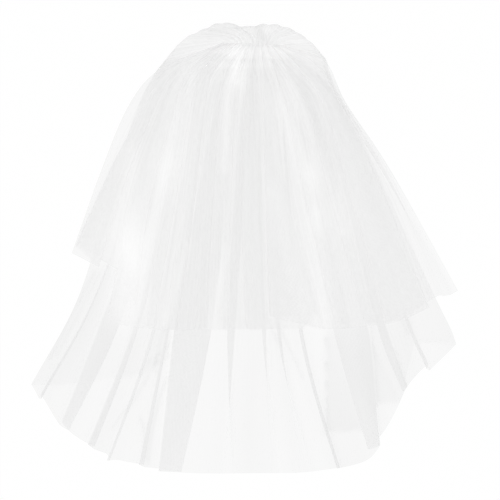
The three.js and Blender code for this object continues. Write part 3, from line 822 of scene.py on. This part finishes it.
def net_group():
    """Tulle's net: how much thread there is at each place of the flat cut."""
    group = bpy.data.node_groups.new("tulle_net", "ShaderNodeTree")
    for name in ("Width", "Length", "Pitch"):
        group.interface.new_socket(name, in_out="INPUT", socket_type="NodeSocketFloat")
    for name in ("Thread", "Streak", "Broad"):
        group.interface.new_socket(name, in_out="OUTPUT", socket_type="NodeSocketFloat")
    nodes = Nodes(group)
    given = nodes.add("NodeGroupInput")
    uv = nodes.add("ShaderNodeUVMap", settings={"uv_map": "cut"})
    size = nodes.add("ShaderNodeCombineXYZ", X=given.outputs["Width"], Y=given.outputs["Length"])
    place = nodes.add("ShaderNodeVectorMath", i0=uv.outputs[0], i1=size.outputs[0],
                      settings={"operation": "MULTIPLY"}).outputs[0]
    dense = nodes.math("DIVIDE", 1.0, given.outputs["Pitch"])
    cells = nodes.add("ShaderNodeTexVoronoi", Vector=place, Scale=dense, Randomness=NET_RANDOMNESS,
                      settings={"feature": "DISTANCE_TO_EDGE", "voronoi_dimensions": "2D"})
    thread = nodes.add("ShaderNodeMapRange", Value=cells.outputs["Distance"])
    thread.interpolation_type = "SMOOTHSTEP"
    limits = {"From Min": THREAD_NEAR, "From Max": THREAD_FAR, "To Min": 1.0, "To Max": 0.0}
    for name, value in limits.items():
        thread.inputs[name].default_value = value
    grain = nodes.add("ShaderNodeAttribute", settings={"attribute_name": "grain"}).outputs["Vector"]
    long_way = nodes.add("ShaderNodeVectorMath", i0=grain, i1=(1.0, STREAK_STRETCH, 1.0),
                         settings={"operation": "MULTIPLY"}).outputs[0]
    streak = nodes.add("ShaderNodeTexNoise", Vector=long_way, Scale=STREAK_SCALE, Detail=2.0, Roughness=0.5)
    wide = nodes.add("ShaderNodeVectorMath", i0=grain, i1=(1.0, BROAD_STRETCH, 1.0),
                     settings={"operation": "MULTIPLY"}).outputs[0]
    broad = nodes.add("ShaderNodeTexNoise", Vector=wide, Scale=BROAD_SCALE, Detail=1.5, Roughness=0.5)
    result = nodes.add("NodeGroupOutput")
    nodes.tree.links.new(broad.outputs[0], result.inputs["Broad"])
    nodes.tree.links.new(thread.outputs[0], result.inputs["Thread"])
    nodes.tree.links.new(streak.outputs[0], result.inputs["Streak"])
    return group


def tulle_material(name, cut, sizes, group):
    """White net showing the layers under it, thicker where gathered, with the bands' painted light and shade.
    """
    material, nodes, shader = new_material(name)
    net = nodes.add("ShaderNodeGroup", settings={"node_tree": group})
    net.inputs["Width"].default_value = cut["hem"] * MM
    net.inputs["Length"].default_value = cut["length"] * MM
    net.inputs["Pitch"].default_value = sizes.net_pitch
    gather = nodes.add("ShaderNodeAttribute", settings={"attribute_name": "gather"}).outputs["Fac"]
    # The bands' painted light and painted shade, read from the mesh's light attribute
    light = nodes.add("ShaderNodeAttribute", settings={"attribute_name": "light"}).outputs["Fac"]
    streak = nodes.math("MULTIPLY_ADD", net.outputs["Streak"], STREAK_SPAN, STREAK_BASE)
    thread = nodes.math("MULTIPLY_ADD", net.outputs["Thread"], THREAD_SPAN, THREAD_BASE)
    layers = nodes.math("MULTIPLY", nodes.math("MULTIPLY", gather, streak), thread)
    clear = nodes.math("POWER", 1 - sizes.opacity, layers)
    alpha = nodes.math("SUBTRACT", 1.0, clear, clamp=True)
    # The net's colour, made whiter by the bands' painted light and darker by their painted shade
    painted_lit = nodes.math("MULTIPLY_ADD", light, sizes.painted_light_gain, sizes.tulle_white)
    darkest = nodes.math("SUBTRACT", painted_lit, FINE_WHITE / 2)
    fine = nodes.math("MULTIPLY_ADD", net.outputs["Streak"], FINE_WHITE, darkest)
    darker = nodes.math("SUBTRACT", fine, BROAD_WHITE / 2)
    bright = nodes.math("MULTIPLY_ADD", net.outputs["Broad"], BROAD_WHITE, darker, clamp=True)
    colour = nodes.add("ShaderNodeCombineColor", Red=bright, Green=bright, Blue=bright)
    bump = nodes.add("ShaderNodeBump", Strength=0.12, Distance=0.0003, Height=net.outputs["Thread"])
    nodes.tree.links.new(colour.outputs[0], shader.inputs["Base Color"])
    nodes.tree.links.new(alpha, shader.inputs["Alpha"])
    nodes.tree.links.new(bump.outputs[0], shader.inputs["Normal"])
    shader.inputs["Roughness"].default_value = 0.8
    shader.inputs["Specular IOR Level"].default_value = 0.1
    return material


def ribbon_material():
    """White satin ribbon with a fine cross weave."""
    material, nodes, shader = new_material("satin_ribbon")
    place = nodes.add("ShaderNodeTexCoord").outputs["Object"]
    wave = nodes.add("ShaderNodeTexWave", Vector=place, Scale=1200.0, Distortion=1.5, Detail=2.0)
    wave.bands_direction = "X"
    cloud = nodes.add("ShaderNodeTexNoise", Vector=place, Scale=60.0, Detail=3.0)
    shade = nodes.math("MULTIPLY_ADD", cloud.outputs[0], 0.05, 0.91)
    colour = nodes.add("ShaderNodeCombineColor", Red=shade, Green=shade, Blue=shade)
    rough = nodes.math("MULTIPLY_ADD", wave.outputs["Fac"], 0.12, 0.34)
    bump = nodes.add("ShaderNodeBump", Strength=0.3, Distance=0.0002, Height=wave.outputs["Fac"])
    nodes.tree.links.new(colour.outputs[0], shader.inputs["Base Color"])
    nodes.tree.links.new(rough, shader.inputs["Roughness"])
    nodes.tree.links.new(bump.outputs[0], shader.inputs["Normal"])
    return material


def comb_material():
    """Clear moulded plastic, faintly cloudy, with fine scratches."""
    material, nodes, shader = new_material("comb_plastic")
    place = nodes.add("ShaderNodeTexCoord").outputs["Object"]
    cloud = nodes.add("ShaderNodeTexNoise", Vector=place, Scale=90.0, Detail=4.0)
    shade = nodes.math("MULTIPLY_ADD", cloud.outputs[0], 0.05, 0.93)
    colour = nodes.add("ShaderNodeCombineColor", Red=shade, Green=shade, Blue=shade)
    stretched = nodes.add("ShaderNodeVectorMath", i0=place, i1=(900.0, 60.0, 200.0),
                          settings={"operation": "MULTIPLY"}).outputs[0]
    scratches = nodes.add("ShaderNodeTexNoise", Vector=stretched, Scale=1.0, Detail=2.0)
    rough = nodes.math("MULTIPLY_ADD", scratches.outputs[0], 0.2, 0.1)
    alpha = nodes.math("MULTIPLY_ADD", cloud.outputs[0], 0.2, 0.5)
    nodes.tree.links.new(colour.outputs[0], shader.inputs["Base Color"])
    nodes.tree.links.new(rough, shader.inputs["Roughness"])
    nodes.tree.links.new(alpha, shader.inputs["Alpha"])
    return material


def thread_material():
    """White sewing thread with its twist."""
    material, nodes, shader = new_material("sewing_thread")
    place = nodes.add("ShaderNodeTexCoord").outputs["Object"]
    wave = nodes.add("ShaderNodeTexWave", Vector=place, Scale=2500.0)
    wave.bands_direction = "DIAGONAL"
    shade = nodes.math("MULTIPLY_ADD", wave.outputs["Fac"], 0.08, 0.86)
    colour = nodes.add("ShaderNodeCombineColor", Red=shade, Green=shade, Blue=shade)
    bump = nodes.add("ShaderNodeBump", Strength=0.5, Distance=0.0001, Height=wave.outputs["Fac"])
    nodes.tree.links.new(colour.outputs[0], shader.inputs["Base Color"])
    nodes.tree.links.new(bump.outputs[0], shader.inputs["Normal"])
    shader.inputs["Roughness"].default_value = 0.6
    return material


class VeilCloth(bpy.types.PropertyGroup):
    """Sizes and looks of the tulle."""
    lower_rows: IntProperty(name="Lower rows", description="Rows of points down the lower tier", default=160)
    upper_rows: IntProperty(name="Upper rows", description="Rows of points down the upper tier", default=190)
    gather_pitch: FloatProperty(
        name="Gather pitch", description="Flat width of one small gather, in millimetres", default=24.0)
    gather_height: FloatProperty(
        name="Gather height", description="Height of a small gather at the seam, in millimetres", default=0.7)
    crumple_height: FloatProperty(
        name="Crumple height", description="Height of the soft crumples, in millimetres", default=1.1)
    net_pitch: FloatProperty(
        name="Net pitch", description="Width of one hole of the net", default=0.0014, unit="LENGTH")
    fold_gathers: FloatProperty(
        name="Fold gathers", description="How much denser the net is in a turned-back run of the lower tier",
        default=2.6)
    opacity: FloatProperty(
        name="Opacity", description="How much one flat layer hides", default=0.44, subtype="FACTOR")
    tulle_white: FloatProperty(
        name="White", description="How white the thread is outside the bands", default=0.84, subtype="FACTOR")
    # How strongly the bands' painted light and painted shade change the net's colour
    painted_light_gain: FloatProperty(
        name="Light", description="How much whiter the net is in the light bands", default=0.1,
        subtype="FACTOR")


class VeilSewing(bpy.types.PropertyGroup):
    """Sizes of the gathering stitches."""
    stitch_length: FloatProperty(
        name="Stitch length", description="Length of one stitch", default=0.0024, unit="LENGTH")
    stitch_pitch: FloatProperty(
        name="Stitch pitch", description="From one stitch to the next", default=0.0036, unit="LENGTH")
    thread_radius: FloatProperty(
        name="Thread radius", description="Half the thread's thickness", default=0.0003, unit="LENGTH")


class VeilStage(bpy.types.PropertyGroup):
    """Sizes and looks of the stage."""
    frame_width: FloatProperty(
        name="Frame width", description="Width of the picture on the floor", default=0.8333, unit="LENGTH")
    frame_x: FloatProperty(
        name="Frame X", description="Middle of the picture", default=0.0087, unit="LENGTH")
    frame_y: FloatProperty(
        name="Frame Y", description="Middle of the picture", default=-0.0029, unit="LENGTH")
    lens: FloatProperty(name="Lens", description="Focal length in millimetres", default=160.0)
    floor_colour: FloatVectorProperty(
        name="Floor", description="Colour of the floor", default=(0.98, 0.98, 0.98), subtype="COLOR")
    sky: FloatProperty(name="Sky", description="Strength of the light from all round", default=0.965)
    key: FloatProperty(name="Key", description="Strength of the soft key light", default=0.3)


class VEIL_OT_tiers(bpy.types.Operator):
    """Lays both tiers of tulle."""
    bl_idname = "veil.tiers"
    bl_label = "Lay the tiers"

    def execute(self, context):
        sizes = context.scene.veil_cloth
        back = lower_back_rows(sizes.lower_rows)
        back[..., 2] = blurred(blurred(back[..., 2], LOWER_ROW_BLUR, 0), COLUMN_BLUR, 1)
        seam_low = BINDING_HIGH[2] / MM + SEAM_GAP + WALL / 2
        pouf = pouf_rows(seam_low, POUF_FRONT_ROWS, POUF_TURN_ROWS)
        lower = np.concatenate([pouf, between(pouf[-1], back[0], POUF_JOIN_ROWS), back])
        add_relief(lower, LOWER_CUT, sizes)
        for crease in CREASES:
            lower[..., 2] += crease["height"] * near_crease(lower, crease)
        pile = Pile()
        pile.mark_rows(lower)
        for x in np.arange(SEAM_LEFT - 1, SEAM_RIGHT + 1, 2.0):
            for y in np.arange(SEAM_Y - SEAM_SAG - COMB_HEIGHT, SEAM_Y - SEAM_SAG, 2.0):
                pile.mark(x, y, BINDING_HIGH[2] / MM - WALL / 2)
        pile.cells = blurred(blurred(pile.cells, PILE_BLUR, 0), PILE_BLUR, 1)
        upper = upper_rows(pile, sizes.upper_rows)
        upper[..., 2] = blurred(blurred(upper[..., 2], UPPER_ROW_BLUR, 0), COLUMN_BLUR, 1)
        side = np.clip((np.abs(upper[..., 3] - 0.5) - SIDE_FROM) / SIDE_EASE, 0, 1)
        upper[..., 2] = mix(upper[..., 2], blurred(upper[..., 2], SIDE_BLUR, 1), side)
        add_relief(upper, UPPER_CUT, sizes)
        group = net_group()
        tiers = (
            ("lower_tulle", lower, LOWER_CUT, CREASES, sizes.fold_gathers),
            ("upper_tulle", upper, UPPER_CUT, [], 0),
        )
        for name, rows, cut, creases, fold_gathers in tiers:
            piece = cloth_piece(name, rows, cut, creases, fold_gathers)
            piece.data.materials.append(tulle_material(name + "_net", cut, sizes, group))
            node = name.replace("tulle", "tier")
            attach(piece, "root")
            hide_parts(node)
        return {"FINISHED"}


class VEIL_OT_sewing(bpy.types.Operator):
    """Finishes the ribbon and the comb, and sews the gathering stitches."""
    bl_idname = "veil.sewing"
    bl_label = "Finish the comb and sew"

    def execute(self, context):
        sizes = context.scene.veil_sewing
        for node, material in (("binding", ribbon_material()), ("comb", comb_material())):
            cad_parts[node].visible_shadow = False
            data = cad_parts[node].data
            data.materials.clear()
            data.materials.append(material)
        upper = bpy.data.objects["upper_tulle"]
        points = np.empty(len(upper.data.vertices) * 3)
        upper.data.vertices.foreach_get("co", points)
        points = points.reshape(-1, 3)
        bm = bmesh.new()
        length = (SEAM_RIGHT - SEAM_LEFT) * MM
        count = int(length / sizes.stitch_pitch)
        for k in range(count):
            share = (k + 0.5) / count
            x, y = seam_point(share)
            place = Vector(((x + SHIFT.x) * MM, (y + SHIFT.y) * MM - STITCH_SETBACK, 0))
            close = np.hypot(points[:, 0] - place.x, points[:, 1] - place.y) < STITCH_REACH
            if not close.any():
                continue
            place.z = points[close, 2].max() + 0.5 * sizes.thread_radius
            turn = Matrix.Rotation(math.radians(90), 4, "Y")
            lean = Matrix.Rotation(math.radians(STITCH_LEANS[k % 2]), 4, "Z")
            made = bmesh.ops.create_icosphere(bm, subdivisions=2, radius=sizes.thread_radius)
            stretch = sizes.stitch_length / 2 / sizes.thread_radius
            bmesh.ops.scale(bm, vec=(1, 1, stretch), verts=made["verts"])
            bmesh.ops.transform(bm, matrix=Matrix.Translation(place) @ lean @ turn, verts=made["verts"])
        for face in bm.faces:
            face.smooth = True
        mesh = bpy.data.meshes.new("gather_stitches")
        bm.to_mesh(mesh)
        bm.free()
        mesh.materials.append(thread_material())
        piece = bpy.data.objects.new("gather_stitches", mesh)
        context.scene.collection.objects.link(piece)
        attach(piece, "root")
        return {"FINISHED"}


class VEIL_OT_stage(bpy.types.Operator):
    """Sets the floor, the lights and the camera."""
    bl_idname = "veil.stage"
    bl_label = "Set the stage"

    def execute(self, context):
        sizes = context.scene.veil_stage
        scene = context.scene
        bm = bmesh.new()
        bmesh.ops.create_grid(bm, x_segments=1, y_segments=1, size=FLOOR_SIZE)
        mesh = bpy.data.meshes.new("floor")
        bm.to_mesh(mesh)
        bm.free()
        floor = bpy.data.objects.new("floor", mesh)
        scene.collection.objects.link(floor)
        material, nodes, shader = new_material("studio_floor")
        shader.inputs["Base Color"].default_value = (*sizes.floor_colour, 1)
        shader.inputs["Roughness"].default_value = 1.0
        shader.inputs["Specular IOR Level"].default_value = 0.0
        mesh.materials.append(material)

        world = bpy.data.worlds.new("studio")
        world.use_nodes = True
        world.node_tree.nodes["Background"].inputs["Color"].default_value = (1, 1, 1, 1)
        world.node_tree.nodes["Background"].inputs["Strength"].default_value = sizes.sky
        scene.world = world
        sun = bpy.data.lights.new("key", "SUN")
        sun.energy = sizes.key
        sun.angle = math.radians(KEY_SOFTNESS)
        key = bpy.data.objects.new("key", sun)
        key.rotation_euler = (math.radians(KEY_TURN[0]), math.radians(KEY_TURN[1]), 0)
        scene.collection.objects.link(key)

        data = bpy.data.cameras.new("camera")
        data.lens = sizes.lens
        data.sensor_width = SENSOR_WIDTH
        data.clip_end = CAMERA_REACH
        camera = bpy.data.objects.new("camera", data)
        distance = sizes.lens / data.sensor_width * sizes.frame_width
        camera.location = (sizes.frame_x, sizes.frame_y, distance)
        scene.collection.objects.link(camera)
        scene.camera = camera
        scene.view_settings.view_transform = "Standard"
        scene.cycles.transparent_max_bounces = CLEAR_LAYERS
        return {"FINISHED"}


class VEIL_PT_panel(bpy.types.Panel):
    """Lists the veil's steps and sizes."""
    bl_label = "Veil"
    bl_idname = "VEIL_PT_panel"
    bl_space_type = "VIEW_3D"
    bl_region_type = "UI"
    bl_category = "Veil"

    def draw(self, context):
        for group, operator in STEPS:
            box = self.layout.box()
            sizes = getattr(context.scene, group)
            for name in sizes.__annotations__:
                box.prop(sizes, name)
            box.operator(operator)


STEPS = [("veil_cloth", "veil.tiers"), ("veil_sewing", "veil.sewing"), ("veil_stage", "veil.stage")]
GROUPS = {"veil_cloth": VeilCloth, "veil_sewing": VeilSewing, "veil_stage": VeilStage}
CLASSES = [
    VeilCloth, VeilSewing, VeilStage, VEIL_OT_tiers, VEIL_OT_sewing, VEIL_OT_stage, VEIL_PT_panel,
]


def register():
    for item in CLASSES:
        bpy.utils.register_class(item)
    for name, group in GROUPS.items():
        setattr(bpy.types.Scene, name, PointerProperty(type=group))


def unregister():
    for name in GROUPS:
        delattr(bpy.types.Scene, name)
    for item in reversed(CLASSES):
        bpy.utils.unregister_class(item)


def main():
    LOWER_TIER["rays"] = fan_lines(LOWER_TIER)
    UPPER_TIER["rays"] = fan_lines(UPPER_TIER)
    register()
    bpy.ops.veil.tiers()
    bpy.ops.veil.sewing()
    bpy.ops.veil.stage()


if __name__ == "__main__":
    main()
